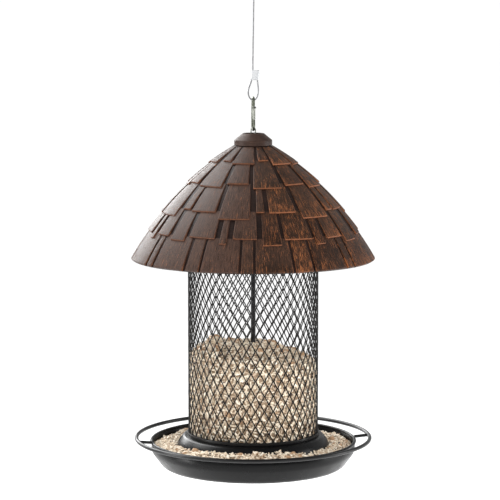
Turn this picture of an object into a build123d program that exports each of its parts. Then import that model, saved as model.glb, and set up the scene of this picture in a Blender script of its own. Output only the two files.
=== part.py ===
from build123d import *
import os
from math import atan2, cos, degrees, radians, sin, sqrt, tan

# Hanging bird feeder: a shingled metal roof over a mesh seed tube, a tray with a perch
# ring, and a crimped steel cable with a snap hook. Millimetres, +Z up, front towards -Y.
# Every height below is measured from the plane of the roof's rim. The finished pieces
# are lowered by rim_drop, which puts the origin at the top inside of the hanging loop.

# ---- driving dimensions ----
rim_drop = 296.0  # from the hanging loop down to the roof's rim

roof_rim_radius = 124.5
roof_top_radius = 20.2
roof_rise = 116.8
roof_bulge = 10.1  # how far the dome stands proud of a straight cone
course_edges = [102.0, 81.0, 55.0, 30.0]  # heights of the lower edges of the shingle courses
shingle_lift = 0.6  # a shingle's lower edge stands out this far, its upper edge sinks as far
roof_inner_depth = 1.6
neck_radius = 16.2
neck_height = 2.8
roof_sheet = 1.0

cap_radius = 19.5
cap_band = 5.2
cap_height = 12.2
cap_flat_radius = 10.9
cap_hole_radius = 9.3  # clears the snap hook when the roof slides up

rod_radius = 2.5
rod_bottom = -215.2
rod_top = 120.0
eye_wire = 1.3
eye_inner = 1.65  # half the inner width of the rod's eye
eye_base_radius = 3.4
eye_base_bottom = 114.0
eye_base_top = 126.8
eye_flange_radius = 5.0
rain_washer_radius = 10.4
rain_washer_thick = 1.8

hook_wire = 2.5
hook_bottom = 131.0
hook_top = 166.5
hook_big_bend = 6.1  # centreline radius of the lower bend
hook_small_bend = 4.3  # centreline radius of the upper bend
hook_yaw = 8.0  # the hook's plane is turned this far from the front-to-back plane
nose_height = 143.4
tang_height = 157.4
pivot_height = 155.2
tang_thick = 1.3
gate_radius = 1.55
gate_slot = 1.9
rivet_radius = 0.6
rivet_clearance = 0.05

cable_radius = 0.75
ferrule_height = 10.0
barrel_gap = 5.1
ferrule_wall = 1.25

mesh_inner_radius = 66.2
mesh_outer_radius = 67.4
tube_top = 73.8
tube_bottom = -183.3
rim_inner_radius = 65.2
rim_outer_radius = 68.6
top_rim_height = 7.3
bottom_rim_height = 3.2
rim_web = 1.4
mesh_end_gap = 0.1  # between the mesh's ends and the rims' webs
seed_level = -97.0

bar_width = 12.0
bar_thick = 2.0
bar_height = 68.5  # underside of the cross bar
nut_across = 8.0
nut_height = 4.0

skirt_sheet = 0.9
tray_sheet = 1.0
tray_foot = -216.5
tray_foot_radius = 93.4
tray_shoulder_radius = 106.0
tray_shoulder_height = -199.5
tray_lip_radius = 105.4
tray_lip_height = -190.1
tray_lip_roll = 1.6
recess_radius = 38.0
recess_depth = 7.0
tray_washer_thick = 1.2
tray_seed_level = -195.0

perch_radius = 121.0
perch_wire = 2.0
perch_height = -186.8
spoke_radius = 1.6
spoke_angles = [5.5, 98.0, 192.0, 283.0]

dome_chord = sqrt((roof_rim_radius - roof_top_radius) ** 2 + roof_rise**2)
dome_radius = (dome_chord**2 / 4 + roof_bulge**2) / (2 * roof_bulge)
dome_centre = (
    (roof_rim_radius + roof_top_radius) / 2 - roof_rise / dome_chord * (dome_radius - roof_bulge),
    roof_rise / 2 - (roof_rim_radius - roof_top_radius) / dome_chord * (dome_radius - roof_bulge),
)


def turned(edges):
    """Turn a closed outline of (radius, height) edges about the vertical axis."""
    loose = [edge for piece in edges for edge in piece.edges()]
    return revolve(Plane.XZ * make_face(loose), Axis.Z)


def ring(inner, outer, low, high):
    """A flat-ended ring between two radii and two heights."""
    return turned([Polyline((inner, low), (outer, low), (outer, high), (inner, high), close=True)])


def rod_between(start, end, radius):
    """A straight round rod from one point to another."""
    along = Vector(*end) - Vector(*start)
    return Plane(origin=start, z_dir=along) * Cylinder(
        radius, along.length, align=(Align.CENTER, Align.CENTER, Align.MIN)
    )


def drilled(shape, radius, low, high):
    """Bore a vertical hole on the axis."""
    return shape - Pos(0, 0, low) * Cylinder(
        radius, high - low, align=(Align.CENTER, Align.CENTER, Align.MIN)
    )


# ---- roof ----
def on_dome(height, lift):
    """The point of the dome's outline at a height, moved out along its normal by lift."""
    turn = atan2(height - dome_centre[1], sqrt(dome_radius**2 - (height - dome_centre[1]) ** 2))
    reach = dome_radius + lift
    return (dome_centre[0] + reach * cos(turn), dome_centre[1] + reach * sin(turn))


def make_roof_shell():
    """A pressed dome with stepped shingle courses, open below, with a neck for the cap."""
    edges = []
    tops = [roof_rise] + course_edges
    bottoms = course_edges + [0.0]
    last = (roof_top_radius, roof_rise)
    for top, bottom in zip(tops, bottoms):
        start = last if top == roof_rise else on_dome(top, -shingle_lift)
        end = on_dome(bottom, shingle_lift)
        if start != last:
            edges.append(Line(last, start))
        edges.append(ThreePointArc(start, on_dome((top + bottom) / 2, 0.0), end))
        last = end
    rim_inner = on_dome(0.0, -roof_inner_depth)
    seat_under = roof_rise - roof_sheet
    top_inner = on_dome(roof_rise - 3.0, -roof_inner_depth)
    edges.append(Line(last, rim_inner))
    edges.append(
        ThreePointArc(rim_inner, on_dome((roof_rise - 3.0) / 2, -roof_inner_depth), top_inner)
    )
    neck_inner = neck_radius - roof_sheet
    edges.append(
        Polyline(
            top_inner,
            (roof_top_radius - 1.5, seat_under),
            (neck_inner, seat_under),
            (neck_inner, roof_rise + neck_height),
            (neck_radius, roof_rise + neck_height),
            (neck_radius, roof_rise),
            (roof_top_radius, roof_rise),
        )
    )
    return turned(edges)


def make_roof_cap():
    """A stepped hollow cap over the roof's neck, with a wide hole in its flat top."""
    wall = 1.2
    top = roof_rise + cap_height
    outline = [
        (cap_radius - wall, roof_rise),
        (cap_radius, roof_rise),
        (cap_radius, roof_rise + cap_band),
        (cap_flat_radius, top),
        (cap_hole_radius, top),
        (cap_hole_radius, top - wall),
        (cap_flat_radius - 0.5, top - wall),
        (cap_radius - wall, roof_rise + cap_band - 0.6),
    ]
    return turned([FilletPolyline(*outline, radius=[0.2, 0.3, 1.0, 0.8, 0.3, 0.3, 0.4, 0.6], close=True)])


# ---- centre rod and what is fixed along it ----
def make_centre_rod():
    """The long rod that clamps the tray and the tube together."""
    rod = Pos(0, 0, rod_bottom) * Cylinder(
        rod_radius, rod_top - rod_bottom, align=(Align.CENTER, Align.CENTER, Align.MIN)
    )
    return chamfer(rod.edges().filter_by(GeomType.CIRCLE), 0.5)


def make_rod_eye():
    """A wire eye on a sleeve that screws onto the top of the rod."""
    bend = eye_inner + eye_wire / 2
    crown = hook_bottom + hook_wire + 0.35 + eye_wire / 2
    path = Wire(
        [
            Line((-bend, 0, eye_base_top), (-bend, 0, crown - bend)),
            ThreePointArc((-bend, 0, crown - bend), (0, 0, crown), (bend, 0, crown - bend)),
            Line((bend, 0, crown - bend), (bend, 0, eye_base_top)),
        ]
    )
    loop = sweep(Plane(origin=path @ 0, z_dir=path % 0) * Circle(eye_wire / 2), path=path)
    flange = rain_washer_thick
    sleeve = ring(rod_radius, eye_base_radius, eye_base_bottom, rod_top)
    head = Pos(0, 0, rod_top) * Cylinder(
        eye_base_radius, eye_base_top - rod_top, align=(Align.CENTER, Align.CENTER, Align.MIN)
    )
    collar_top = eye_base_top - flange
    collar = ring(eye_base_radius, eye_flange_radius, collar_top - 1.5, collar_top)
    return Rot(0, 0, hook_yaw) * (loop + sleeve + head + collar)


def make_rain_washer():
    """A rubber disc on the rod's sleeve that closes the cap's hole from inside."""
    low = eye_base_top - rain_washer_thick
    return ring(eye_base_radius, rain_washer_radius, low, eye_base_top)


def hex_nut(low):
    """A hexagon nut on the rod."""
    blank = Pos(0, 0, low) * extrude(RegularPolygon(nut_across / 2, 6, major_radius=False), nut_height)
    return drilled(blank, rod_radius, low, low + nut_height)


def make_cross_bar():
    """A flat bar across the top of the tube, which the rod passes through."""
    bar = Pos(0, 0, bar_height) * Box(
        2 * rim_outer_radius, bar_width, bar_thick, align=(Align.CENTER, Align.CENTER, Align.MIN)
    )
    bar = bar & Cylinder(rim_inner_radius, 4 * tube_top)
    return drilled(bar, rod_radius, bar_height, bar_height + bar_thick)


# ---- seed tube ----
def make_mesh_tube():
    """The expanded metal tube, as a plain tube of the mesh's inner and outer radius."""
    inset = rim_web + mesh_end_gap
    return ring(mesh_inner_radius, mesh_outer_radius, tube_bottom + inset, tube_top - inset)


def make_tube_rim(web_side):
    """A folded rim over one end of the mesh; web_side is 1 for the top and -1 for the bottom."""
    end = tube_top if web_side > 0 else tube_bottom
    height = top_rim_height if web_side > 0 else bottom_rim_height
    mouth = end - web_side * height
    web = end - web_side * rim_web
    outline = [
        (rim_inner_radius, mouth),
        (rim_inner_radius, end),
        (rim_outer_radius, end),
        (rim_outer_radius, mouth),
        (mesh_outer_radius, mouth),
        (mesh_outer_radius, web),
        (mesh_inner_radius, web),
        (mesh_inner_radius, mouth),
    ]
    rounding = [0.2, 0.9, 0.9, 0.2, 0.2, 0.05, 0.05, 0.2]
    return turned([FilletPolyline(*outline, radius=rounding, close=True)])


def make_seed_hopper():
    """The fill of seed in the tube, standing on the skirt's deck."""
    return ring(rod_radius + 0.1, rim_inner_radius - 0.2, tube_bottom + 0.1, seed_level)


# ---- tray ----
def sheet_ring(line, thickness):
    """A thin sheet of even thickness, turned from its outline."""
    return turned([offset(line, amount=thickness, side=Side.LEFT)])


def make_base_skirt():
    """The raised centre of the tray: a flat deck under the tube, with a rounded shoulder."""
    foot = tray_foot + tray_sheet
    line = Curve() + [
        Line((rod_radius, tube_bottom), (69.0, tube_bottom)),
        ThreePointArc((69.0, tube_bottom), (75.4, -187.7), (80.0, -197.0)),
        Line((80.0, -197.0), (82.8, foot)),
    ]
    outer = line.edges()
    under = tube_bottom - skirt_sheet
    edges = list(outer)
    edges.append(
        Polyline((82.8, foot), (82.8 - skirt_sheet, foot), (80.0 - skirt_sheet, -197.2))
    )
    edges.append(
        ThreePointArc((80.0 - skirt_sheet, -197.2), (74.7, -188.3), (68.6, under))
    )
    edges.append(Polyline((68.6, under), (rod_radius, under), (rod_radius, tube_bottom)))
    return turned(edges)


def make_tray():
    """The dished tray, with a recess for the nut, a flat foot and a rolled lip."""
    outer = FilletPolyline(
        (rod_radius, tray_foot + recess_depth),
        (recess_radius, tray_foot + recess_depth),
        (recess_radius + 7.0, tray_foot),
        (tray_foot_radius, tray_foot),
        (tray_shoulder_radius, tray_shoulder_height),
        (tray_lip_radius, tray_lip_height),
        radius=[3.0, 3.0, 6.0, 10.0],
    )
    dish = sheet_ring(outer, tray_sheet)
    lip = Pos(0, 0, tray_lip_height) * Torus(tray_lip_radius, tray_lip_roll)
    return dish + lip


def make_seed_tray():
    """The ring of seed lying in the tray round the skirt."""
    level = tray_seed_level
    return turned(
        [
            Polyline(
                (83.2, tray_foot + 1.5),
                (91.0, tray_foot + 1.5),
                (94.6, tray_foot + 4.9),
                (103.5, tray_shoulder_height - 0.1),
                (103.8, level),
                (80.2, level),
                close=True,
            )
        ]
    )


def make_tray_washer():
    """The washer between the tray's recess and its nut."""
    top = tray_foot + recess_depth
    return ring(rod_radius, 8.0, top - tray_washer_thick, top)


# ---- perch ----
def make_perch_ring():
    """The round wire perch outside the tray's lip."""
    return Pos(0, 0, perch_height) * Torus(perch_radius, perch_wire)


def make_perch_spokes(perch, tray):
    """Four short rods from the tray's lip to the perch ring, cut to meet both."""
    spokes = []
    for angle in spoke_angles:
        spoke = rod_between((106.2, 0, -188.6), (perch_radius - 1.0, 0, -187.3), spoke_radius)
        cut = (Rot(0, 0, angle) * spoke) - perch - tray
        spokes.append(max(cut.solids(), key=lambda solid: solid.volume))
    return Compound(children=spokes)


# ---- snap hook ----
hook_low_centre = hook_bottom + hook_wire / 2 + hook_big_bend
hook_high_centre = hook_top - hook_wire / 2 - hook_small_bend
hook_lean = atan2(hook_big_bend - hook_small_bend, hook_high_centre - hook_low_centre)


def hook_tangent(side, upper):
    """Where a straight side of the hook meets a bend, as (across, height)."""
    bend = hook_small_bend if upper else hook_big_bend
    centre = hook_high_centre if upper else hook_low_centre
    return (side * bend * cos(hook_lean), centre + bend * sin(hook_lean))


def on_gate_side(height):
    """The point of the hook's gated side at a height, as (across, height)."""
    low = hook_tangent(-1, False)
    high = hook_tangent(-1, True)
    share = (height - low[1]) / (high[1] - low[1])
    return (low[0] + share * (high[0] - low[0]), height)


def in_hook(point):
    """A point of the hook's plane, as a point in space before the hook is turned."""
    return (0, point[0], point[1])


def gate_frame():
    """The frame of the gate: its origin on the rivet, Z up along the gate."""
    pivot = on_gate_side(pivot_height)
    low = on_gate_side(nose_height)
    along = (0, pivot[0] - low[0], pivot[1] - low[1])
    return Plane(origin=in_hook(pivot), x_dir=(1, 0, 0), z_dir=along)


def make_hook_body():
    """The bent wire of the snap hook, with a flat tang that carries the gate."""
    low_end = (0, hook_bottom + hook_wire / 2)
    high_end = (0, hook_top - hook_wire / 2)
    path = Wire(
        [
            Line(in_hook(on_gate_side(nose_height)), in_hook(hook_tangent(-1, False))),
            ThreePointArc(
                in_hook(hook_tangent(-1, False)), in_hook(low_end), in_hook(hook_tangent(1, False))
            ),
            Line(in_hook(hook_tangent(1, False)), in_hook(hook_tangent(1, True))),
            ThreePointArc(
                in_hook(hook_tangent(1, True)), in_hook(high_end), in_hook(hook_tangent(-1, True))
            ),
            Line(in_hook(hook_tangent(-1, True)), in_hook(on_gate_side(tang_height))),
        ]
    )
    wire = sweep(Plane(origin=path @ 0, z_dir=path % 0) * Circle(hook_wire / 2), path=path)
    shank = tang_height - pivot_height
    tang = gate_frame() * (
        Rot(0, 90, 0) * Cylinder(1.2, tang_thick)
        + Pos(0, 0, shank / 2) * Box(tang_thick, 2.0, shank + 0.4)
    )
    bore = gate_frame() * (Rot(0, 90, 0) * Cylinder(rivet_radius, 4 * gate_radius))
    return Rot(0, 0, hook_yaw) * (wire + tang - bore)


def make_hook_gate():
    """The hook's gate: a hollow pin, slotted over the tang, closing against the nose."""
    pivot = on_gate_side(pivot_height)
    low = on_gate_side(nose_height)
    reach = sqrt((pivot[0] - low[0]) ** 2 + (pivot[1] - low[1]) ** 2)
    length = reach - 0.45
    pin = Pos(0, 0, -length) * Cylinder(
        gate_radius, length, align=(Align.CENTER, Align.CENTER, Align.MIN)
    )
    pin += Rot(0, 90, 0) * Cylinder(gate_radius - 0.05, 2 * gate_radius) & Cylinder(gate_radius, 10)
    slot_floor = -1.65
    slot = Pos(0, 0, slot_floor) * Box(
        gate_slot, 10, 10, align=(Align.CENTER, Align.CENTER, Align.MIN)
    )
    hole = Rot(0, 90, 0) * Cylinder(rivet_radius + rivet_clearance, 10)
    bore = Pos(0, 0, slot_floor - 7.0) * Cylinder(
        0.95, 7.0, align=(Align.CENTER, Align.CENTER, Align.MIN)
    )
    return Rot(0, 0, hook_yaw) * (gate_frame() * (pin - slot - hole - bore))


def make_gate_spring():
    """The spring inside the gate, as a ribbed pin of the coil's outer size."""
    turns = 8
    pitch = 0.8
    low = -1.75 - turns * pitch
    edges = [Line((0, low), (0.7, low))]
    for turn in range(turns):
        base = low + turn * pitch
        edges.append(ThreePointArc((0.7, base), (0.9, base + pitch / 2), (0.7, base + pitch)))
    edges.append(Line((0.7, low + turns * pitch), (0, low + turns * pitch)))
    edges.append(Line((0, low + turns * pitch), (0, low)))
    return Rot(0, 0, hook_yaw) * (gate_frame() * turned(edges))


def make_gate_rivet():
    """The rivet through the gate's fork and the hook's tang."""
    shank = Rot(0, 90, 0) * Cylinder(rivet_radius, 2 * gate_radius + 0.6)
    heads = []
    for side in (-1, 1):
        heads.append(Pos(side * (gate_radius + 0.45), 0, 0) * Rot(0, 90, 0) * Cylinder(0.95, 0.3))
    return Rot(0, 0, hook_yaw) * (gate_frame() * (shank + heads))


# ---- cable ----
# The lower half of the cable's route, from the cut end in the lower ferrule, round the
# loop and up through the ferrule again, as (x, height) points of its control polygon.
loop_low = 162.9
lower_route = [
    (4.65, 193.2),
    (3.95, 183.2),
    (5.75, 171.8),
    (3.3, loop_low),
    (-3.2, loop_low),
    (-6.0, 171.5),
    (-1.15, 183.2),
    (-0.45, 193.2),
]
loop_high = rim_drop + cable_radius
turn_sum = loop_low + loop_high  # the upper loop is the lower one turned half round
route_lean = 0.05


def turned_point(point):
    """The upper loop's partner of a point of the lower loop."""
    return (route_lean - point[0], turn_sum - point[1])


def cable_route():
    """Every point of the cable's route, from its lower end to its upper end."""
    upper_route = [turned_point(point) for point in reversed(lower_route)]
    return [(x, 0, height) for x, height in lower_route + upper_route]


def route_radii(route):
    """The radius of each corner: as large as its two runs allow."""
    radii = []
    for before, at, after in zip(route, route[1:], route[2:]):
        run_in = Vector(*at) - Vector(*before)
        run_out = Vector(*after) - Vector(*at)
        half_turn = radians(run_in.get_angle(run_out)) / 2
        radii.append(0.45 * min(run_in.length, run_out.length) / tan(half_turn))
    return radii


def make_cable():
    """The steel cable with its two loops, and its length."""
    route = cable_route()
    radii = route_radii(route)
    path = FilletPolyline(*route, radius=radii)
    cable = sweep(Plane(origin=path @ 0, z_dir=path % 0) * Circle(cable_radius), path=path)
    section = 3.14159265 * cable_radius**2
    print("cable radii", [round(radius, 1) for radius in radii])
    print("cable length %.1f, volume over section %.1f" % (path.length, cable.volume / section))
    return cable


def make_ferrule():
    """The crimped double sleeve above the lower loop, with a barrel for each strand."""
    foot = ((lower_route[1][0] + lower_route[6][0]) / 2, lower_route[1][1])
    head = ((lower_route[0][0] + lower_route[7][0]) / 2, lower_route[0][1])
    lean = degrees(atan2(head[0] - foot[0], head[1] - foot[1]))
    frame = Pos(foot[0], 0, foot[1]) * Rot(0, lean, 0)
    outer = cable_radius + ferrule_wall
    blank = extrude(SlotCenterToCenter(barrel_gap, 2 * outer), ferrule_height)
    blank = chamfer(blank.edges().group_by(Axis.Z)[0] + blank.edges().group_by(Axis.Z)[-1], 0.35)
    for side in (-1, 1):
        blank -= Pos(side * barrel_gap / 2, 0, 0) * Cylinder(cable_radius + 0.1, 4 * ferrule_height)
    return frame * blank


# ---- build and save ----
def main():
    os.makedirs("parts", exist_ok=True)
    perch = make_perch_ring()
    tray = make_tray()
    ferrule = make_ferrule()
    pieces = {
        "roof_shell": make_roof_shell(),
        "roof_cap": make_roof_cap(),
        "centre_rod": make_centre_rod(),
        "rod_eye": make_rod_eye(),
        "rain_washer": make_rain_washer(),
        "cross_bar": make_cross_bar(),
        "cross_bar_nut": hex_nut(bar_height + bar_thick),
        "mesh_tube": make_mesh_tube(),
        "mesh_top_rim": make_tube_rim(1),
        "mesh_bottom_rim": make_tube_rim(-1),
        "base_skirt": make_base_skirt(),
        "tray": tray,
        "tray_washer": make_tray_washer(),
        "tray_nut": hex_nut(tray_foot + recess_depth - tray_washer_thick - nut_height),
        "perch_ring": perch,
        "perch_spokes": make_perch_spokes(perch, tray),
        "seed_hopper": make_seed_hopper(),
        "seed_tray": make_seed_tray(),
        "snap_hook_body": make_hook_body(),
        "snap_hook_gate": make_hook_gate(),
        "gate_rivet": make_gate_rivet(),
        "gate_spring": make_gate_spring(),
        "hanging_cable": make_cable(),
        "lower_ferrule": ferrule,
        "upper_ferrule": Pos(route_lean, 0, turn_sum) * Rot(0, 180, 0) * ferrule,
    }
    pivot = on_gate_side(pivot_height)
    pivot_place = Rot(0, 0, hook_yaw) * Pos(0, pivot[0], pivot[1] - rim_drop)
    print("gate pivot", pivot_place.position)
    print("hook axis height", hook_bottom + hook_wire / 2 - rim_drop)
    for name, piece in pieces.items():
        export_step(Pos(0, 0, -rim_drop) * piece, "parts/%s.step" % name)


main()
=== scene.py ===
import math
import random

import bmesh
import bpy
import numpy as np
from mathutils import Matrix, Vector


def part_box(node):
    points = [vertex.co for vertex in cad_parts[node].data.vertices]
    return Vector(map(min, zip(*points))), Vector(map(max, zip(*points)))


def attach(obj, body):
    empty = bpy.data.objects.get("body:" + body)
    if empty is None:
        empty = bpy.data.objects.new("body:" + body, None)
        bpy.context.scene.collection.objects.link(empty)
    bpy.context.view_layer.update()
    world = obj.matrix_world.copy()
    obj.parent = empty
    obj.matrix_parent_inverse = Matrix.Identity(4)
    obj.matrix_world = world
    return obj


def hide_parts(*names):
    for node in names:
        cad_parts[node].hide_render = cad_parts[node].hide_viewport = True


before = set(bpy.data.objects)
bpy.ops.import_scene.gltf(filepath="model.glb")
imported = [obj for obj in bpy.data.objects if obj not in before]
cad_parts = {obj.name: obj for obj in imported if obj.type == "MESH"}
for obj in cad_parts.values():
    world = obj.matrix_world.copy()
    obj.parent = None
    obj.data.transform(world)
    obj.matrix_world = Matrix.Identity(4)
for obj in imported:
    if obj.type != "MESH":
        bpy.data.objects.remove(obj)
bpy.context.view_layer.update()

# Lengths below are in millimetres, and heights are above the plane of the roof's rim.
TRAY_FOOT = -216.5
RIM_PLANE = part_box("tray")[0].z - TRAY_FOOT / 1000

# The dome is one arc, from the rim's radius up to the cap's, bulged out from its chord.
DOME_RIM, DOME_TOP, DOME_RISE, DOME_BULGE = 124.5, 20.2, 116.8, 10.1
CHORD = math.hypot(DOME_RIM - DOME_TOP, DOME_RISE)
DOME_R = (CHORD**2 / 4 + DOME_BULGE**2) / (2 * DOME_BULGE)
DOME_X = (DOME_RIM + DOME_TOP) / 2 - DOME_RISE / CHORD * (DOME_R - DOME_BULGE)
DOME_Z = DOME_RISE / 2 - (DOME_RIM - DOME_TOP) / CHORD * (DOME_R - DOME_BULGE)

# The tube's expanded mesh: diamonds round it, their height, and where the pattern starts.
MESH_R = 66.8
MESH_ROUND = 46
MESH_CELL = 15.38
TUBE_LOW, TUBE_HIGH = -183.3, 73.8
MESH_PHASE, MESH_BOND_HEIGHT = math.radians(5.96), -171.03


# ---------------------------------------------------------------- mesh helpers
def to_row(points):
    """Points in millimetres above the rim plane, as metres in the row frame."""
    out = np.asarray(points, float).reshape(-1, 3) / 1000
    out[:, 2] += RIM_PLANE
    return out


def new_object(name, verts, faces):
    """A smooth mesh object from millimetre points, with outward faces."""
    mesh = bpy.data.meshes.new(name)
    mesh.from_pydata([tuple(p) for p in to_row(verts)], [], faces)
    mesh.validate()
    made = bmesh.new()
    made.from_mesh(mesh)
    bmesh.ops.remove_doubles(made, verts=made.verts, dist=1e-7)
    bmesh.ops.recalc_face_normals(made, faces=made.faces)
    made.to_mesh(mesh)
    made.free()
    mesh.shade_smooth()
    piece = bpy.data.objects.new(name, mesh)
    bpy.context.scene.collection.objects.link(piece)
    return piece


ROUND_STEPS = 5


def rounded(corners):
    """A polyline of (radius, height, rounding) corners with each corner rounded."""
    points = []
    count = len(corners)
    for i, (x, z, rounding) in enumerate(corners):
        here = np.array([x, z])
        before = np.array(corners[i - 1][:2])
        after = np.array(corners[(i + 1) % count][:2])
        if rounding <= 0:
            points.append(here)
            continue
        back = before - here
        ahead = after - here
        back_length, ahead_length = np.linalg.norm(back), np.linalg.norm(ahead)
        reach = min(rounding, 0.45 * back_length, 0.45 * ahead_length)
        start = here + back / back_length * reach
        end = here + ahead / ahead_length * reach
        for step in range(ROUND_STEPS + 1):
            t = step / ROUND_STEPS
            points.append((1 - t) ** 2 * start + 2 * t * (1 - t) * here + t**2 * end)
    return [(float(p[0]), float(p[1])) for p in points]


def lathe(name, profile, turns):
    """A closed profile of (radius, height) points turned about the axis."""
    count = len(profile)
    angles = np.linspace(0, 2 * math.pi, turns, endpoint=False)
    verts = [(r * math.cos(a), r * math.sin(a), z) for a in angles for r, z in profile]
    faces = []
    for i in range(turns):
        for k in range(count):
            low, high = i * count, ((i + 1) % turns) * count
            faces.append((low + k, low + (k + 1) % count, high + (k + 1) % count, high + k))
    return new_object(name, verts, faces)


class Heap:
    """Collects many small closed shapes, with point attributes, into one mesh."""

    def __init__(self):
        self.verts, self.faces, self.values = [], [], {}

    def add(self, verts, faces, **values):
        start = len(self.verts)
        self.verts.extend(verts)
        self.faces.extend(tuple(start + k for k in face) for face in faces)
        for key, value in values.items():
            column = value if hasattr(value, "__len__") else [value] * len(verts)
            self.values.setdefault(key, []).extend(column)

    def build(self, name):
        mesh = bpy.data.meshes.new(name)
        mesh.from_pydata([tuple(p) for p in to_row(self.verts)], [], self.faces)
        for key, column in self.values.items():
            flat = np.asarray(column, np.float32)
            kind = "FLOAT_VECTOR" if flat.ndim == 2 else "FLOAT"
            layer = mesh.attributes.new(key, kind, "POINT")
            layer.data.foreach_set("vector" if flat.ndim == 2 else "value", flat.ravel())
        mesh.shade_smooth()
        mesh.update()
        piece = bpy.data.objects.new(name, mesh)
        bpy.context.scene.collection.objects.link(piece)
        return piece


# ---------------------------------------------------------------- material helpers
class Finish:
    """A node material with one Principled shader and short calls for its nodes."""

    def __init__(self, name, metallic=0.0, roughness=0.5, gloss=0.5):
        self.material = bpy.data.materials.new(name)
        self.material.use_nodes = True
        self.tree = self.material.node_tree
        self.shader = self.tree.nodes["Principled BSDF"]
        self.shader.inputs["Metallic"].default_value = metallic
        self.shader.inputs["Roughness"].default_value = roughness
        self.shader.inputs["Specular IOR Level"].default_value = gloss

    def node(self, kind, **settings):
        made = self.tree.nodes.new("ShaderNode" + kind)
        for key, value in settings.items():
            setattr(made, key, value)
        return made

    def plug(self, value, socket):
        if isinstance(value, bpy.types.NodeSocket):
            self.tree.links.new(value, socket)
        else:
            socket.default_value = value

    def attribute(self, name, vector=False):
        made = self.node("Attribute", attribute_name=name)
        return made.outputs["Vector" if vector else "Fac"]

    def place(self):
        return self.node("TexCoord").outputs["Object"]

    def scaled(self, vector, scale):
        made = self.node("Mapping")
        self.plug(vector, made.inputs["Vector"])
        made.inputs["Scale"].default_value = scale
        return made.outputs["Vector"]

    def noise(self, vector, scale, detail=3.0, rough=0.55, distortion=0.0):
        made = self.node("TexNoise")
        self.plug(vector, made.inputs["Vector"])
        made.inputs["Scale"].default_value = scale
        made.inputs["Detail"].default_value = detail
        made.inputs["Roughness"].default_value = rough
        made.inputs["Distortion"].default_value = distortion
        return made.outputs["Fac"]

    def math(self, operation, a, b=0.0):
        made = self.node("Math", operation=operation)
        made.use_clamp = operation in ("MULTIPLY", "ADD", "SUBTRACT")
        self.plug(a, made.inputs[0])
        self.plug(b, made.inputs[1])
        return made.outputs[0]

    def ramp(self, value, low, high, out_low=0.0, out_high=1.0):
        made = self.node("MapRange", interpolation_type="SMOOTHSTEP")
        self.plug(value, made.inputs["Value"])
        limits = {"From Min": low, "From Max": high, "To Min": out_low, "To Max": out_high}
        for key, number in limits.items():
            made.inputs[key].default_value = number
        return made.outputs["Result"]

    def mix(self, share, a, b):
        made = self.node("Mix", data_type="RGBA")
        self.plug(share, made.inputs["Factor"])
        self.plug(a if isinstance(a, bpy.types.NodeSocket) else (*a, 1.0), made.inputs["A"])
        self.plug(b if isinstance(b, bpy.types.NodeSocket) else (*b, 1.0), made.inputs["B"])
        return made.outputs["Result"]

    def colour(self, value):
        self.plug(value, self.shader.inputs["Base Color"])

    def roughness(self, value):
        self.plug(value, self.shader.inputs["Roughness"])

    def bump(self, height, depth):
        """Adds relief; depth is the height in millimetres of a full-range step."""
        made = self.node("Bump")
        made.inputs["Strength"].default_value = 1.0
        made.inputs["Distance"].default_value = depth / 1000
        self.plug(height, made.inputs["Height"])
        before = self.shader.inputs["Normal"].links
        if before:
            self.plug(before[0].from_socket, made.inputs["Normal"])
        self.plug(made.outputs["Normal"], self.shader.inputs["Normal"])


def dress(piece, finish, body, slot, *nodes):
    """Gives a new piece its material and its body and hides the CAD nodes it stands for; slot is not
    used.
    """
    piece.data.materials.clear()
    piece.data.materials.append(finish.material)
    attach(piece, body)
    if nodes:
        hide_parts(*nodes)


def redress(node, finish):
    """Gives a CAD node that stays a better material."""
    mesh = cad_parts[node].data
    mesh.materials.clear()
    mesh.materials.append(finish.material)


# ---------------------------------------------------------------- materials
def bronze_finish(name, dark, pale):
    """Plain dark bronze paint, with soft blotches and a fine grain."""
    f = Finish(name, roughness=0.42, gloss=0.16)
    place = f.place()
    blotch = f.noise(place, 45.0, 4.0, 0.6)
    speck = f.noise(place, 1100.0, 3.0, 0.7)
    brushed = f.noise(f.scaled(place, (90.0, 90.0, 900.0)), 1.0, 4.0, 0.6)
    body = f.mix(f.ramp(blotch, 0.3, 0.7), dark, pale)
    body = f.mix(f.ramp(brushed, 0.5, 0.75, 0.0, 0.5), body, tuple(2.0 * c for c in pale))
    f.colour(f.mix(f.ramp(speck, 0.62, 0.75, 0.0, 0.5), body, (0.14, 0.07, 0.04)))
    f.roughness(f.ramp(blotch, 0.3, 0.7, 0.36, 0.5))
    f.bump(speck, 0.08)
    return f


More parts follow.
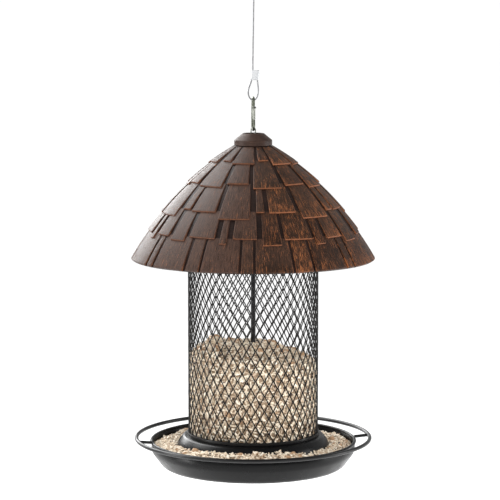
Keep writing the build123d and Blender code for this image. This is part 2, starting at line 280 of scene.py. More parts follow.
def shingle_finish(name):
    """Dark bronze paint brushed down the slope and rubbed back to copper along the edges.

    The mesh carries slope (millimetres along and up each shingle), edge, tone and a per-shingle side
    value: more copper where it is high, on the right of the front, and a painted sheen, a paler body,
    where it is low, on the left.
    """
    f = Finish(name, roughness=0.46, gloss=0.16)
    slope = f.attribute("slope", vector=True)
    edge, tone, warmth = f.attribute("edge"), f.attribute("tone"), f.attribute("warmth")
    blotch = f.noise(f.scaled(slope, (0.05, 0.035, 0.05)), 1.0, 4.0, 0.6)
    hatch = f.noise(f.scaled(slope, (1.35, 0.09, 1.0)), 1.0, 5.0, 0.72, 0.25)
    cross = f.noise(f.scaled(slope, (0.55, 0.2, 0.6)), 1.0, 4.0, 0.65, 0.6)
    speck = f.noise(f.scaled(slope, (1.5, 1.2, 1.3)), 1.0, 3.0, 0.7)
    body = f.mix(f.ramp(blotch, 0.32, 0.68), (0.010, 0.0044, 0.0024), (0.034, 0.0145, 0.0074))
    body = f.mix(f.ramp(tone, 0.0, 1.0, 0.0, 0.5), body, (0.034, 0.0205, 0.013))
    # Painted sheen: where the side value is low, on the left of the front, the body turns a paler
    # grey-brown.
    body = f.mix(f.ramp(warmth, 0.35, 0.8, 0.75, 0.0), body, (0.062, 0.034, 0.025))
    body = f.mix(f.ramp(hatch, 0.38, 0.54, 0.75, 0.0), body, (0.006, 0.003, 0.002))
    body = f.mix(f.ramp(speck, 0.33, 0.46, 0.6, 0.0), body, (0.008, 0.004, 0.003))
    rise = f.math("MULTIPLY_ADD", warmth, 0.12)
    f.plug(hatch, rise.node.inputs[2])
    fine = f.ramp(rise, 0.655, 0.71)
    rise = f.math("MULTIPLY_ADD", warmth, 0.1)
    f.plug(cross, rise.node.inputs[2])
    broad = f.ramp(rise, 0.6, 0.74)
    patch = f.ramp(f.noise(f.scaled(slope, (0.06, 0.045, 0.31)), 1.0, 2.0), 0.36, 0.6, 0.25, 1.0)
    fine = f.math("MULTIPLY", fine, patch)
    body = f.mix(f.math("MULTIPLY", broad, 0.45), body, (0.10, 0.042, 0.022))
    body = f.mix(f.math("MULTIPLY", fine, 0.75), body, (0.34, 0.112, 0.036))
    flecks = f.math("MULTIPLY", f.ramp(speck, 0.6, 0.7), patch)
    body = f.mix(f.math("MULTIPLY", flecks, 0.6), body, (0.24, 0.115, 0.048))
    ragged = f.math("MULTIPLY", edge, f.ramp(speck, 0.3, 0.6, 0.45, 1.2))
    rubbed = f.math("MULTIPLY", f.ramp(ragged, 0.3, 0.8), f.math("MULTIPLY", warmth, 0.9))
    body = f.mix(rubbed, body, (0.2, 0.074, 0.034))
    f.colour(body)
    f.roughness(f.ramp(hatch, 0.35, 0.65, 0.36, 0.52))
    f.bump(hatch, 0.2)
    f.bump(speck, 0.1)
    return f


def paint_finish(name, colour, roughness, peel=0.05, gloss=0.4):
    """Satin powder coat with a faint orange peel and a little dust."""
    f = Finish(name, roughness=roughness, gloss=gloss)
    place = f.place()
    peel_height = f.noise(place, 900.0, 3.0)
    dust = f.noise(place, 60.0, 4.0, 0.6)
    dusty = tuple(0.012 + 1.6 * c for c in colour)
    f.colour(f.mix(f.ramp(dust, 0.55, 0.85, 0.0, 0.35), colour, dusty))
    f.roughness(f.ramp(dust, 0.3, 0.75, roughness - 0.05, roughness + 0.1))
    f.bump(peel_height, peel)
    return f


def metal_finish(name, colour, roughness):
    """Plated or drawn metal with fine drawing lines and dull spots."""
    f = Finish(name, metallic=1.0, roughness=roughness)
    place = f.place()
    lines = f.noise(f.scaled(place, (900, 900, 120)), 1.0, 3.0)
    dull = f.noise(place, 420.0, 3.0, 0.6)
    f.colour(f.mix(f.ramp(dull, 0.35, 0.75), colour, tuple(0.55 * c for c in colour)))
    f.roughness(f.ramp(lines, 0.3, 0.7, roughness - 0.08, roughness + 0.16))
    f.bump(lines, 0.03)
    return f


def ferrule_finish():
    """A pale crimped sleeve, a little uneven."""
    f = Finish("ferrule_metal", metallic=0.3, roughness=0.38)
    place = f.place()
    patch = f.ramp(f.noise(place, 800.0), 0.4, 0.7)
    f.colour(f.mix(patch, (0.52, 0.53, 0.54), (0.38, 0.39, 0.40)))
    f.bump(f.noise(place, 500.0), 0.06)
    return f


def seed_finish(name, shades):
    """Dry seed: the tint attribute picks a shade, and painted shade darkens each kernel towards its
    underside.
    """
    f = Finish(name, roughness=0.6)
    place = f.place()
    tint = f.attribute("tint")
    colour = shades[0]
    for step, shade in enumerate(shades[1:], 1):
        edge = step / len(shades)
        colour = f.mix(f.ramp(tint, edge - 0.03, edge + 0.03), colour, shade)
    mottle = f.noise(place, 700.0, 4.0, 0.65)
    colour = f.mix(f.ramp(mottle, 0.52, 0.82, 0.0, 0.4), colour, (0.30, 0.19, 0.11))
    # Painted shade: the colour falls towards a dark brown on the kernel's underside, where open_side is
    # low.
    hidden = f.ramp(f.attribute("open_side"), 0.05, 0.45, 0.55, 0.0)
    f.colour(f.mix(hidden, colour, (0.38, 0.28, 0.19)))
    f.roughness(f.ramp(mottle, 0.3, 0.7, 0.48, 0.7))
    f.bump(mottle, 0.25)
    return f


roof_worn = shingle_finish("roof_worn")
# The skin between the shingles is darker than they are: partly the dark antiquing of the recesses,
# partly painted shade in the gaps.
roof_dark = bronze_finish("roof_dark", (0.006, 0.0032, 0.0026), (0.016, 0.008, 0.006))
cap_paint = bronze_finish("cap_paint", (0.018, 0.0095, 0.007), (0.040, 0.022, 0.016))
black_paint = paint_finish("black_paint", (0.004, 0.004, 0.0043), 0.32, 0.05, 0.3)
tray_paint = paint_finish("tray_paint", (0.0035, 0.0036, 0.0038), 0.3, 0.05, 0.14)
mesh_paint = paint_finish("mesh_paint", (0.004, 0.0034, 0.003), 0.4, 0.03, 0.25)
zinc = metal_finish("zinc", (0.36, 0.37, 0.33), 0.34)
hook_zinc = metal_finish("hook_zinc", (0.13, 0.14, 0.11), 0.36)
rivet_metal = metal_finish("rivet_metal", (0.05, 0.05, 0.045), 0.4)
cable_metal = metal_finish("cable_metal", (0.32, 0.32, 0.33), 0.42)
rubber = paint_finish("rubber", (0.02, 0.02, 0.02), 0.7)
PALE, CREAM, BEIGE = (0.92, 0.83, 0.69), (0.88, 0.76, 0.60), (0.79, 0.66, 0.50)
TAN, NUT, DARK = (0.60, 0.46, 0.33), (0.46, 0.29, 0.17), (0.06, 0.04, 0.03)
SHADES = (PALE, CREAM, BEIGE, TAN, NUT, DARK)
seed_look = seed_finish("seed_look", SHADES)
# Painted shade: the tray's kernels take the seed colours darkened to 0.8, a shaded copy of the seed
# finish.
DIMMED_TRAY_SHADES = [tuple(0.8 * c for c in shade) for shade in SHADES]
shaded_tray_seed_look = seed_finish("shaded_tray_seed_look", DIMMED_TRAY_SHADES)
seed_shadow = paint_finish("seed_shadow", (0.42, 0.31, 0.21), 0.8, 0.3)
ferrule_metal = ferrule_finish()


# ---------------------------------------------------------------- camera
CAMERA_LENS = 159.6
CAMERA_AWAY, CAMERA_ABOVE = 2.266, 0.276
CAMERA_DOWN, CAMERA_TURN = math.radians(6.73), math.radians(0.083)


def add_camera():
    """The camera stands in front, a little above the rim, and looks slightly down."""
    data = bpy.data.cameras.new("camera")
    camera = bpy.data.objects.new("camera", data)
    bpy.context.scene.collection.objects.link(camera)
    data.sensor_width = 36.0
    data.lens = CAMERA_LENS
    data.clip_end = 2000.0
    camera.location = (0.0, -CAMERA_AWAY, RIM_PLANE + CAMERA_ABOVE)
    camera.rotation_euler = (math.pi / 2 - CAMERA_DOWN, 0.0, CAMERA_TURN)
    bpy.context.scene.camera = camera


add_camera()


# ---------------------------------------------------------------- cable
CABLE_RADIUS = 0.75
LOOP_FOOT = 162.9
LOOP_HEAD = 296.0
# (x, height) of the lower loop's points, from the cut end round to the standing cable.
LOWER_ROUTE = [
    (4.65, 193.2), (3.95, 183.2), (5.75, 171.8), (3.3, LOOP_FOOT),
    (-3.2, LOOP_FOOT), (-6.0, 171.5), (-1.15, 183.2), (-0.45, 193.2),
]
ROUTE_LEAN = 0.05
TURN_SUM = LOOP_FOOT + LOOP_HEAD + CABLE_RADIUS


def cable_route():
    """The cable's route, as in the design: the upper loop is the lower one turned round."""
    upper = [(ROUTE_LEAN - x, TURN_SUM - z) for x, z in reversed(LOWER_ROUTE)]
    near_low, near_high = (-0.38, 202.0), (ROUTE_LEAN + 0.38, TURN_SUM - 202.0)
    return [(x, 0.0, z) for x, z in LOWER_ROUTE + [near_low, near_high] + upper]


def add_cable():
    """The hanging cable, which ends in a loop above and below."""
    curve = bpy.data.curves.new("cable_line", "CURVE")
    curve.dimensions = "3D"
    spline = curve.splines.new("NURBS")
    route = to_row(cable_route())
    spline.points.add(len(route) - 1)
    for point, place in zip(spline.points, route):
        point.co = (*place, 1.0)
    spline.order_u = 3
    spline.use_endpoint_u = True
    spline.resolution_u = 12
    curve.bevel_depth = CABLE_RADIUS / 1000
    curve.bevel_resolution = 4
    curve.use_fill_caps = True
    cable = bpy.data.objects.new("cable", curve)
    bpy.context.scene.collection.objects.link(cable)
    dress(cable, cable_metal, "hanger", "cable_steel", "hanging_cable")


add_cable()


# ---------------------------------------------------------------- roof
def dome_turn(height):
    """The dome arc's angle at a height."""
    return math.asin((height - DOME_Z) / DOME_R)


def dome_point(turn, lift):
    """(radius, height) at an angle of the dome's arc, lifted off it."""
    reach = DOME_R + lift
    return DOME_X + reach * math.cos(turn), DOME_Z + reach * math.sin(turn)


# Each course: (left edge, right edge, height of the lower edge) of its shingles, in
# degrees from the front towards +X; the half turn repeats once round the back.
COURSES = [
    [(-84, -59, 100), (-48, -33, 102), (-29, 2, 100), (7, 22.5, 103), (26.5, 58, 99), (62, 91, 98)],
    [(-83, -73.5, 77.5), (-72.5, -57.5, 80), (-53, -28, 78), (-24, -4, 81.5), (0, 24.5, 77.5),
     (29, 50, 80), (54.5, 77.5, 76.5), (82, 93, 79)],
    [(-78, -57, 48.5), (-52, -45.5, 56), (-43.5, -25, 55), (-22, -2, 49), (2, 7.2, 55.5),
     (10.5, 28.5, 55), (32, 52.5, 49), (55.5, 62.5, 54.5), (64.5, 79, 54), (84, 98, 48.5)],
    [(-70, -66, 25.5), (-63, -52, 30), (-49, -39, 27), (-36.5, -21, 31), (-18, -14, 26),
     (-11, 2, 31), (5, 15, 25), (17, 33, 30), (35, 40.5, 24.5), (43, 55, 29.5), (57, 68, 24.5),
     (74, 84, 28), (87, 107, 30)],
    [(-83, -60, 0), (-58.5, -54.5, 0), (-53, -34, 0), (-32.5, -25.7, 0), (-24.7, -6.7, 0),
     (-5.6, 0, 0), (1.2, 18.6, 0), (19.8, 28.6, 0), (29.8, 48.2, 0), (49.2, 54, 0), (55, 83.5, 0),
     (84.8, 95.5, 0)],
]
COURSE_TOPS = [DOME_RISE - 0.4, 104.0, 82.5, 57.0, 32.0]
# How far a shingle's upper end, lower edge and hidden back stand off the dome.
SHINGLE_BASE, SHINGLE_HIGH, SHINGLE_ROOT = -0.2, 1.4, -1.6
SHINGLE_SHRINK = 0.22
EDGE_ROWS = [0.0, 0.3, 0.7, 1.2, 2.0]
EDGE_DROP, EDGE_ROUND = 0.35, 0.8
SKIN_OUTSIDE, SKIN_INSIDE = -0.9, -1.9
CAP_BASE, CAP_HOLE, CAP_TOP = 116.82, 9.3, 129.0


def spaced(length, fine, coarse):
    """Places along a length, close together near both ends."""
    inner = max(2, int((length - 2 * fine[-1]) / coarse) + 1)
    middle = np.linspace(fine[-1], length - fine[-1], inner)
    return sorted(set(list(fine[:-1]) + list(middle) + [length - x for x in fine[:-1]]))


def add_shingle(heap, left, right, low, top, seed):
    """One pressed shingle: a curved plate that rises towards its lower edge."""
    chance = random.Random(seed)
    high_turn, low_turn = dome_turn(top), dome_turn(low)
    run = DOME_R * (high_turn - low_turn)
    low_radius = dome_point(low_turn, 0)[0]
    span = math.radians(right - left) * low_radius
    low_rub = 1.0 if low > 1 else 0.35
    across = spaced(span, EDGE_ROWS, 4.0)
    down = spaced(run, EDGE_ROWS, 5.0)
    skew = chance.uniform(-0.5, 0.5)
    crown = chance.uniform(0.0, 0.25)
    tone = chance.random()
    middle = math.radians((left + right) / 2)
    # The side value rises towards the right of the front for more copper; its low values on the left are
    # painted as a paler sheen.
    warm_side = min(1.0, max(0.0, (math.sin(middle) + 0.2) / 0.6))
    warmth = chance.uniform(0.8, 1.12) * (0.4 + 0.6 * warm_side if math.cos(middle) > 0 else 0.8)
    verts, edges, slopes, copper_and_sheen_by_point = [], [], [], []
    for side in (0, 1):
        for v in down:
            share = v / run
            for u in across:
                from_side = min(u, span - u)
                from_low = run - v
                near = min(from_side, from_low)
                if side:
                    lift, shrink = SHINGLE_ROOT, 0.0
                else:
                    lean = SHINGLE_BASE - 0.1 + (SHINGLE_HIGH - SHINGLE_BASE) * share
                    lift = lean - EDGE_DROP * max(0.0, 1 - near / EDGE_ROUND) ** 2
                    lift += crown * (1 - (2 * u / span - 1) ** 2) * share
                    shrink = SHINGLE_SHRINK
                low_skew = skew * (u / span - 0.5) * share
                turn = high_turn - (v + low_skew - shrink * share) / DOME_R
                angle = math.radians(left) + (u * (1 - 2 * shrink / span) + shrink) / low_radius
                radius, height = dome_point(turn, lift)
                verts.append((radius * math.sin(angle), -radius * math.cos(angle), height))
                side_rub = 0.8 * (1 - from_side) * (0.35 + 0.65 * share)
                rub = max(low_rub * (1 - from_low / 1.1), side_rub)
                edges.append(max(0.0, rub) if not side else 0.0)
                slopes.append((math.radians(left) * low_radius + u, run - v, 37.0 * seed))
                copper_and_sheen_by_point.append(warmth * (0.82 + 0.35 * math.exp(-from_low / 7.0)))
    faces = plate_faces(len(across), len(down))
    heap.add(verts, faces, edge=edges, tone=tone, warmth=copper_and_sheen_by_point, slope=slopes)


def plate_faces(wide, tall):
    """Faces of a closed plate: its front grid, its back grid and the wall between them."""
    half = wide * tall
    faces = []
    for j in range(tall - 1):
        for i in range(wide - 1):
            a = j * wide + i
            faces.append((a, a + wide, a + wide + 1, a + 1))
            faces.append((half + a, half + a + 1, half + a + wide + 1, half + a + wide))
    border = list(range(wide)) + [j * wide + wide - 1 for j in range(1, tall)]
    border += [(tall - 1) * wide + i for i in range(wide - 2, -1, -1)]
    border += [j * wide for j in range(tall - 2, 0, -1)]
    for k, a in enumerate(border):
        b = border[(k + 1) % len(border)]
        faces.append((a, b, half + b, half + a))
    return faces


def add_roof():
    """Shingles over a thin dark skin, and the stepped cap."""
    heap = Heap()
    seed = 1
    for course, top in zip(COURSES, COURSE_TOPS):
        for half_turn in (0, 180):
            for left, right, low in course:
                add_shingle(heap, left + half_turn, right + half_turn, low, top, seed)
                seed += 1
    shingles = heap.build("roof_shingles")
    dress(shingles, roof_worn, "roof", "roof_bronze", "roof_shell")

    rim_turn, top_turn, inner_turn = dome_turn(0.0), dome_turn(DOME_RISE), dome_turn(DOME_RISE - 3)
    outer = [dome_point(t, SKIN_OUTSIDE) for t in np.linspace(top_turn, rim_turn, 40)]
    inner = [dome_point(t, SKIN_INSIDE) for t in np.linspace(rim_turn, inner_turn, 40)]
    neck = [(DOME_TOP - 1.5, DOME_RISE - 1), (15.2, DOME_RISE - 1), (15.2, DOME_RISE + 2.8),
            (16.2, DOME_RISE + 2.8), (16.2, DOME_RISE - 0.02)]
    skin = lathe("roof_skin", outer + inner + neck, 256)
    dress(skin, roof_dark, "roof", "roof_bronze", "roof_shell")

    cap = [(18.3, CAP_BASE, 0.1), (19.5, CAP_BASE, 0.3), (19.5, 122.0, 0.7), (10.9, CAP_TOP, 0.6),
           (CAP_HOLE, CAP_TOP, 0.4), (CAP_HOLE, 127.8, 0.4), (10.4, 127.8, 0.4), (18.3, 121.4, 0.6)]
    dress(lathe("cap_skin", rounded(cap), 96), cap_paint, "roof", "cap_bronze", "roof_cap")


add_roof()


# ---------------------------------------------------------------- mesh tube
STRAND_SHARES = (0.0, 0.17, 0.39, 0.61, 0.83)
STRAND_SIDES, STRAND_WIDE, STRAND_DEEP = 6, 0.69, 0.5
BOND_HALF, RIM_COVER = 0.5, 0.9


def strand_path(k):
    """One zigzag strand's rings: azimuth, height and lean, between the two rims."""
    step, half = 2 * math.pi / MESH_ROUND, MESH_CELL / 2
    sign = 1 if k % 2 == 0 else -1
    keep = BOND_HALF / MESH_R
    rings = []
    for row in range(-2, 36):
        for share in STRAND_SHARES:
            height = MESH_BOND_HEIGHT + (row + share) * half
            if not TUBE_LOW + RIM_COVER < height < TUBE_HIGH - RIM_COVER:
                continue
            bow = share - 0.05 * math.sin(2 * math.pi * share)
            swing = bow if (row + k) % 2 == 0 else 1 - bow
            azimuth = MESH_PHASE + k * step / 2 + keep + swing * (step / 2 - 2 * keep)
            lean = 0.4 * sign * (1 if row % 2 == 0 else -1) * math.sin(math.pi * share)
            rings.append((azimuth, height, lean))
    return rings


def add_mesh_tube():
    """Expanded metal: zigzag strands that meet their neighbours at the knuckles."""
    heap = Heap()
    sides = STRAND_SIDES
    for k in range(2 * MESH_ROUND):
        rings = strand_path(k)
        verts = []
        for azimuth, height, lean in rings:
            out = np.array([math.sin(azimuth), -math.cos(azimuth), 0.0])
            side = np.array([math.cos(azimuth), math.sin(azimuth), 0.0])
            centre = out * MESH_R + np.array([0, 0, height])
            for s in range(sides):
                a = 2 * math.pi * (s + 0.5) / sides + lean
                verts.append(centre + side * STRAND_WIDE * math.cos(a) + out * STRAND_DEEP * math.sin(a))
        faces = []
        last = (len(rings) - 1) * sides
        for i in range(len(rings) - 1):
            for s in range(sides):
                t = (s + 1) % sides
                low = i * sides
                faces.append((low + s, low + t, low + sides + t, low + sides + s))
        faces.append(tuple(range(sides)))
        faces.append(tuple(reversed(range(last, last + sides))))
        heap.add(verts, faces)
    mesh = heap.build("mesh_strands")
    dress(mesh, mesh_paint, "feeder", "mesh_black", "mesh_tube")
    add_tube_rim("top_rim", "mesh_top_rim", TUBE_HIGH, TUBE_HIGH - 7.3)
    add_tube_rim("bottom_rim", "mesh_bottom_rim", TUBE_LOW, TUBE_LOW + 3.2)


def add_tube_rim(name, node, end, mouth):
    """A folded rim: two walls over the mesh's end, joined by a web."""
    inward = 0.7 if end > mouth else -0.7
    corners = [
        (65.2, mouth, 0.2), (65.2, end, 0.9), (68.6, end, 0.9), (68.6, mouth, 0.3),
        (67.5, mouth, 0.1), (67.5, end - inward, 0.1), (66.1, end - inward, 0.1), (66.1, mouth, 0.1),
    ]
    dress(lathe(name, rounded(corners), 256), black_paint, "feeder", "black_metal", node)


add_mesh_tube()


# ---------------------------------------------------------------- tray, skirt and perch
def sheet_profile(corners, thickness):
    """A closed profile of a sheet: the rounded line and its copy, moved in by thickness."""
    line = rounded(corners)
    line[0], line[-1] = corners[0][:2], corners[-1][:2]
    points = np.array(line)
    step = np.gradient(points, axis=0)
    step /= np.linalg.norm(step, axis=1)[:, None]
    inner = points + thickness * np.stack([-step[:, 1], step[:, 0]], 1)
    return [tuple(p) for p in points] + [tuple(p) for p in inner[::-1]]


def ring_profile(radius, height, wire):
    """The round section of a wire bent into a ring."""
    angles = np.linspace(0, 2 * math.pi, 20, endpoint=False)
    return [(radius + wire * math.cos(a), height + wire * math.sin(a)) for a in angles]


LIP_RADIUS, LIP_HEIGHT, LIP_WIRE = 105.4, -190.1, 1.6
PERCH_RADIUS, PERCH_HEIGHT, PERCH_WIRE = 121.0, -186.8, 2.0


def add_tray():
    """The dished tray with its rolled lip, the skirt under the tube, and the perch ring."""
    foot = TRAY_FOOT
    corners = [(2.55, foot + 7, 0), (38, foot + 7, 3), (45, foot, 3), (93.4, foot, 5),
               (106.0, -199.5, 5), (LIP_RADIUS, LIP_HEIGHT, 0)]
    tray = lathe("tray_dish", sheet_profile(corners, 1.0), 256)
    dress(tray, tray_paint, "feeder", "tray_black", "tray")
    lip = lathe("tray_lip", ring_profile(LIP_RADIUS, LIP_HEIGHT, LIP_WIRE), 256)
    dress(lip, tray_paint, "feeder", "tray_black")
    turn = [(69.0, TUBE_LOW, 0), (72.6, -183.9, 3), (77.6, -190.0, 6), (80.0, -197.0, 8),
            (82.8, foot + 1, 0)]
    outline = [(2.6, TUBE_LOW)] + rounded(turn)
    outline[1], outline[-1] = (69.0, TUBE_LOW), (82.8, foot + 1)
    inside = [(81.9, foot + 1), (79.1, -197.2), (76.6, -190.6), (72.3, -185.2), (68.6, -184.2),
              (2.6, -184.2)]
    skirt = lathe("skirt_skin", outline + inside, 256)
    dress(skirt, tray_paint, "feeder", "black_metal", "base_skirt")
    perch = lathe("perch_wire", ring_profile(PERCH_RADIUS, PERCH_HEIGHT, PERCH_WIRE), 256)
    dress(perch, black_paint, "feeder", "black_metal", "perch_ring")
    redress("perch_spokes", black_paint)


add_tray()


# ---------------------------------------------------------------- seed
# Half length, half width and half thickness of each kind of kernel.
KERNELS = {
    "heart": (2.9, 1.4, 1.05),
    "chip": (2.1, 1.6, 0.7),
    "grain": (1.5, 1.15, 0.95),
    "flake": (2.6, 1.0, 0.45),
    "nut": (3.9, 3.2, 2.4),
    "sliver": (4.2, 1.1, 0.6),
}


def kernel_shape(chance, kind):
    """One kernel: a tapered heart, a chip, a round grain, a flake, a nut or a sliver."""
    rings, sides = 5, 6
    size = chance.uniform(0.8, 1.2)
    length, width, thick = (size * part for part in KERNELS[kind])
    taper = 0.45 if kind in ("heart", "sliver", "flake") else 0.1
    verts = [(length, 0, 0)]
    for i in range(1, rings):
        polar = math.pi * i / rings
        girth = math.sin(polar) ** 0.75 * (1 - taper * 0.5 * (1 + math.cos(polar)))
        for s in range(sides):
            a = 2 * math.pi * s / sides + chance.uniform(-0.25, 0.25)
            wobble = chance.uniform(0.8, 1.15)
            along = length * math.cos(polar) + chance.uniform(-0.1, 0.1)
            across, deep = width * girth * wobble, thick * girth * wobble
            verts.append((along, across * math.cos(a), deep * math.sin(a)))
    verts.append((-length * 0.95, 0, 0))
    faces = []
    last = 1 + (rings - 2) * sides
    for s in range(sides):
        t = (s + 1) % sides
        faces.append((0, 1 + s, 1 + t))
        faces.append((len(verts) - 1, last + t, last + s))
        for i in range(rings - 2):
            a = 1 + i * sides
            faces.append((a + s, a + sides + s, a + sides + t, a + t))
    return np.array(verts), faces, thick


def drop(heap, chance, kind, place, up, lean, tint):
    """Lays one kernel at a place, flat against the direction up, give or take lean."""
    verts, faces, thick = kernel_shape(chance, kind)
    spin = Matrix.Rotation(chance.uniform(0, 2 * math.pi), 3, "Z")
    nod = Matrix.Rotation(chance.gauss(0, lean), 3, "X")
    tip = nod @ Matrix.Rotation(chance.gauss(0, lean), 3, "Y")
    local = verts @ np.array(tip @ spin).T
    turn = np.array(Vector(up).to_track_quat("Z", "Y").to_matrix())
    # open_side is 0 on the kernel's underside and 1 on its top; the seed finish paints shade where it is
    # low.
    open_side = np.clip(0.55 + local[:, 2] / (2.2 * thick), 0.0, 1.0)
    heap.add(local @ turn.T + np.asarray(place), faces, tint=tint, open_side=open_side)


# (x, height) along the seed's crest in the tube, from left to right.
FILL_RIDGE = [(-66, -101), (-58, -97), (-50, -92), (-43, -84.5), (-37, -85.5), (-29, -89.5),
              (-16, -89), (0, -88.5), (20, -90), (27, -94), (35, -98), (47, -100.5), (57, -105),
              (66, -110)]


def fill_height(x, y):
    """The top of the seed in the tube: the crest falls away to the front and the back."""
    ridge = float(np.interp(x, *zip(*FILL_RIDGE)))
    return ridge - 8.0 * (y / 64) ** 2 + 0.7 * math.sin(0.16 * x + 1.3) * math.cos(0.13 * y)


def pick_kernel(chance, nuts):
    """A kernel's kind and the tint that goes with it."""
    roll = chance.random()
    if roll < nuts:
        return "nut", 0.75
    if roll < 0.58:
        return "heart", chance.uniform(0.0, 0.62)
    if roll < 0.78:
        return "chip", chance.uniform(0.0, 0.66)
    if roll < 0.9:
        return "flake", chance.uniform(0.0, 0.72)
    return "grain", chance.choice([0.1, 0.3, 0.6, 0.95])


# The kernels' reach inside the mesh and inside its lower rim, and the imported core.
SEED_WALL, RIM_WALL, CORE_RADIUS, ROD_HOLE = 66.0, 64.9, 63.2, 2.6
# (x, y, size) of single nuts on top of the seed.
LOOSE_NUTS = ((50.5, -2.0, 1.0), (-38.0, 22.0, 1.0), (-52.0, -20.0, 0.9), (8.0, -40.0, 0.8))


def add_hopper_seed():
    """Seed in the tube: kernels against the mesh, kernels on top, and a dark core."""
    chance = random.Random(11)
    wall, top = Heap(), Heap()
    inner, count, pitch = SEED_WALL, 118, 3.05
    for row in range(34):
        for k in range(count):
            angle = 2 * math.pi * (k + 0.5 * (row % 2) + chance.uniform(-0.35, 0.35)) / count
            out = np.array([math.sin(angle), -math.cos(angle), 0.0])
            height = TUBE_LOW + 2.0 + (row + chance.uniform(-0.4, 0.4)) * pitch
            if height > fill_height(out[0] * 62, out[1] * 62) + 0.5:
                continue
            kind, tint = pick_kernel(chance, 0.004)
            reach = inner - KERNELS[kind][2] * 1.2 - abs(chance.gauss(0, 0.6))
            if height < TUBE_LOW + 5.0:
                reach = min(reach, RIM_WALL - KERNELS[kind][2] * 1.4)
            drop(wall, chance, kind, out * reach + np.array([0, 0, height]), out, 0.3, tint)
    dress(wall.build("seed_wall"), seed_look, "feeder", "seed", "seed_hopper")
    spacing = 3.3
    span = int(64 / spacing) + 1
    for i in range(-span, span + 1):
        for j in range(-span, span + 1):
            x = (i + chance.uniform(-0.45, 0.45)) * spacing
            y = (j + chance.uniform(-0.45, 0.45)) * spacing
            if not 5.0 < math.hypot(x, y) < 62.5:
                continue
            kind, tint = pick_kernel(chance, 0.015)
            z = fill_height(x, y) + chance.uniform(-0.6, 1.2)
            drop(top, chance, kind, (x, y, z), (0, 0, 1), 0.5, tint)
    for x, y, size in LOOSE_NUTS:
        drop(top, chance, "nut", (x, y, fill_height(x, y) + 2.2 * size), (0, 0, 1), 0.4, 0.75)
    dress(top.build("seed_top"), seed_look, "feeder", "seed")
    radii = [ROD_HOLE, 6.0, 12.0, 20.0, 28.0, 36.0, 44.0, 52.0, 58.0, CORE_RADIUS]
    core_floor = [(CORE_RADIUS, TUBE_LOW + 0.2), (ROD_HOLE, TUBE_LOW + 0.2)]
    packed_bed("seed_core", radii, lambda x, y: fill_height(x, y) - 1.6, core_floor)


def packed_bed(name, radii, height, floor):
    """Packed seed under the loose kernels: its top follows height(x, y), its foot is floor."""
    turns = 96
    verts, faces = [], []
    for radius in radii:
        for s in range(turns):
            a = 2 * math.pi * s / turns
            x, y = radius * math.sin(a), -radius * math.cos(a)
            verts.append((x, y, height(x, y)))
    for radius, z in floor:
        for s in range(turns):
            a = 2 * math.pi * s / turns
            verts.append((radius * math.sin(a), -radius * math.cos(a), z))
    rings = len(radii) + len(floor)
    for low in range(rings):
        high = (low + 1) % rings
        for s in range(turns):
            t = (s + 1) % turns
            faces.append((low * turns + s, low * turns + t, high * turns + t, high * turns + s))
    dress(new_object(name, verts, faces), seed_shadow, "feeder", "seed")


# Heaps and dips in the tray's seed: degrees from the front, radius, height and spread.
TRAY_HEAPS = [(3, 84, 4.5, 4.0), (18, 84, 3.0, 2.5), (25, 85, 2.5, 6.0), (-32, 86, 2.5, 8.0),
              (-62, 88, 2.5, 12.0), (-14, 88, 1.5, 7.0), (43, 85, -3.4, 13.0), (-98, 91, 2.6, 10.0),
              (110, 92, 3.0, 14.0), (160, 91, 4.0, 9.0), (-130, 92, 3.5, 12.0)]
# (height, radius) of the skirt's outside, which the kernels keep clear of.
SKIRT_LINE = [(-216, 83.0), (-197, 80.0), (-190, 77.6), (-187.7, 75.4), (-185, 72.6), (-183.3, 69.0)]


def skirt_radius(z):
    """The skirt's outside radius at a height."""
    return float(np.interp(z, *zip(*SKIRT_LINE)))


def tray_height(angle, radius):
    """The top of the seed in the tray: deeper at the front, with small heaps."""
    level = -194.8 + 5.2 * math.exp(-((math.degrees(angle) / 62) ** 2))
    for azimuth, at_radius, height, spread in TRAY_HEAPS:
        turn = (math.degrees(angle) - azimuth + 180) % 360 - 180
        along = math.radians(turn) * at_radius
        level += height * math.exp(-((along / spread) ** 2) - ((radius - at_radius) / 6) ** 2)
    return level - 0.05 * max(0.0, radius - 92) ** 1.5


def add_tray_seed():
    """Loose kernels in the tray over a packed bed."""
    chance = random.Random(23)
    heap = Heap()
    for layer, count in ((-1.6, 1000), (-0.3, 1500), (0.8, 900)):
        for _ in range(count):
            angle = chance.uniform(-math.pi, math.pi)
            radius = math.sqrt(chance.uniform(76.5**2, 102.5**2))
            z = tray_height(angle, radius) + layer + chance.uniform(-0.5, 0.5)
            kind, tint = pick_kernel(chance, 0.012)
            if chance.random() < 0.02:
                kind, tint = "sliver", 0.75
            if radius < skirt_radius(z) + 0.8:
                continue
            radius = min(radius, 103.8 - KERNELS[kind][0] * 0.8)
            place = (radius * math.sin(angle), -radius * math.cos(angle), z)
            drop(heap, chance, kind, place, (0, 0, 1), 0.45, tint)
    dress(heap.build("tray_kernels"), shaded_tray_seed_look, "feeder", "seed", "seed_tray")

    def bed_top(x, y):
        radius = math.hypot(x, y)
        return min(tray_height(math.atan2(x, -y), radius) - 2.2, -187.5)

    inner = [79.9, 82.0, 84.0, 87.0, 90.0, 94.0, 98.0, 101.5, 103.2]
    bed_floor = [(102.8, -199.8), (94.4, -211.4), (91.0, -214.8), (83.6, -214.8)]
    packed_bed("tray_bed", inner, bed_top, bed_floor)


add_hopper_seed()
add_tray_seed()


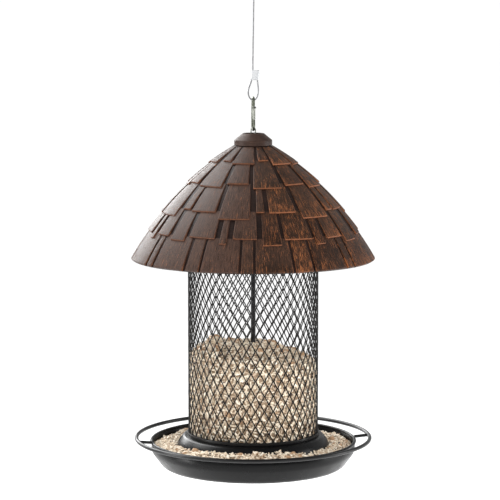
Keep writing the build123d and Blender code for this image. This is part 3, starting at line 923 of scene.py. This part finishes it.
# ---------------------------------------------------------------- small metal pieces
HARDWARE = {
    "rod_eye": zinc,
    "cross_bar_nut": zinc,
    "snap_hook_body": hook_zinc,
    "snap_hook_gate": zinc,
    "gate_rivet": rivet_metal,
    "gate_spring": zinc,
    "tray_washer": zinc,
    "tray_nut": zinc,
}
for node, finish in HARDWARE.items():
    redress(node, finish)
for node in ("centre_rod", "cross_bar"):
    redress(node, black_paint)
for node in ("lower_ferrule", "upper_ferrule"):
    redress(node, ferrule_metal)
redress("rain_washer", rubber)


# ---------------------------------------------------------------- stage
def add_lamp(name, kind, energy, towards):
    """A light of one kind that shines towards a direction."""
    data = bpy.data.lights.new(name, kind)
    data.energy = energy
    lamp = bpy.data.objects.new(name, data)
    bpy.context.scene.collection.objects.link(lamp)
    lamp.rotation_euler = towards.to_track_quat("-Z", "Y").to_euler()
    return lamp


def add_light(name, energy, size, place, target, sheen):
    """A rectangular softbox at a place, turned to its target."""
    lamp = add_lamp(name, "AREA", energy, target - place)
    lamp.data.shape = "RECTANGLE"
    lamp.data.size, lamp.data.size_y = size
    lamp.location = place
    lamp.visible_glossy = sheen


def add_sun(name, strength, softness, source):
    """A wide overhead glow from the direction of source."""
    lamp = add_lamp(name, "SUN", strength, -Vector(source))
    lamp.data.angle = math.radians(softness)


FLOOR_HALF, FLOOR_BELOW = 900.0, 0.62
# Softboxes: power, size, place from the feeder's middle, and whether gloss shows them.
SOFTBOXES = {
    "key": (44, (0.8, 0.9), (1.0, -1.9, 0.95), False),
    "left_box": (24, (0.45, 1.6), (-1.8, -0.35, 0.15), True),
    "left_rim": (11, (0.8, 0.8), (-0.95, 1.6, 1.0), True),
    "left_back": (16, (1.2, 0.45), (-1.0, 1.9, 0.5), True),
    "left_card": (5, (0.35, 0.9), (-1.3, -1.5, 0.75), True),
    "right_box": (15, (0.45, 1.6), (1.9, 0.1, 0.1), True),
}


def add_stage():
    """A wide pale floor far below, an even white sky and the lights."""
    floor_mesh = bpy.data.meshes.new("floor")
    corners = [(x * FLOOR_HALF, y * FLOOR_HALF, RIM_PLANE - FLOOR_BELOW)
               for x, y in ((-1, -1), (1, -1), (1, 1), (-1, 1))]
    floor_mesh.from_pydata(corners, [], [(0, 1, 2, 3)])
    floor = bpy.data.objects.new("floor", floor_mesh)
    bpy.context.scene.collection.objects.link(floor)
    pale = Finish("floor_pale", roughness=0.9)
    pale.colour(pale.mix(pale.noise(pale.place(), 0.4), (0.93, 0.93, 0.93), (0.95, 0.95, 0.95)))
    floor_mesh.materials.append(pale.material)
    bpy.context.scene.view_settings.view_transform = "Standard"
    world = bpy.data.worlds.new("world")
    bpy.context.scene.world = world
    world.use_nodes = True
    sky = world.node_tree.nodes["Background"].inputs
    sky["Color"].default_value = (1.0, 1.0, 1.0, 1.0)
    sky["Strength"].default_value = 0.5
    middle = Vector((0, 0, RIM_PLANE - 0.04))
    add_sun("overhead", 2.6, 34, (-0.56, 0.42, 0.78))
    for name, (energy, size, place, sheen) in SOFTBOXES.items():
        add_light(name, energy, size, middle + Vector(place), middle, sheen)


add_stage()
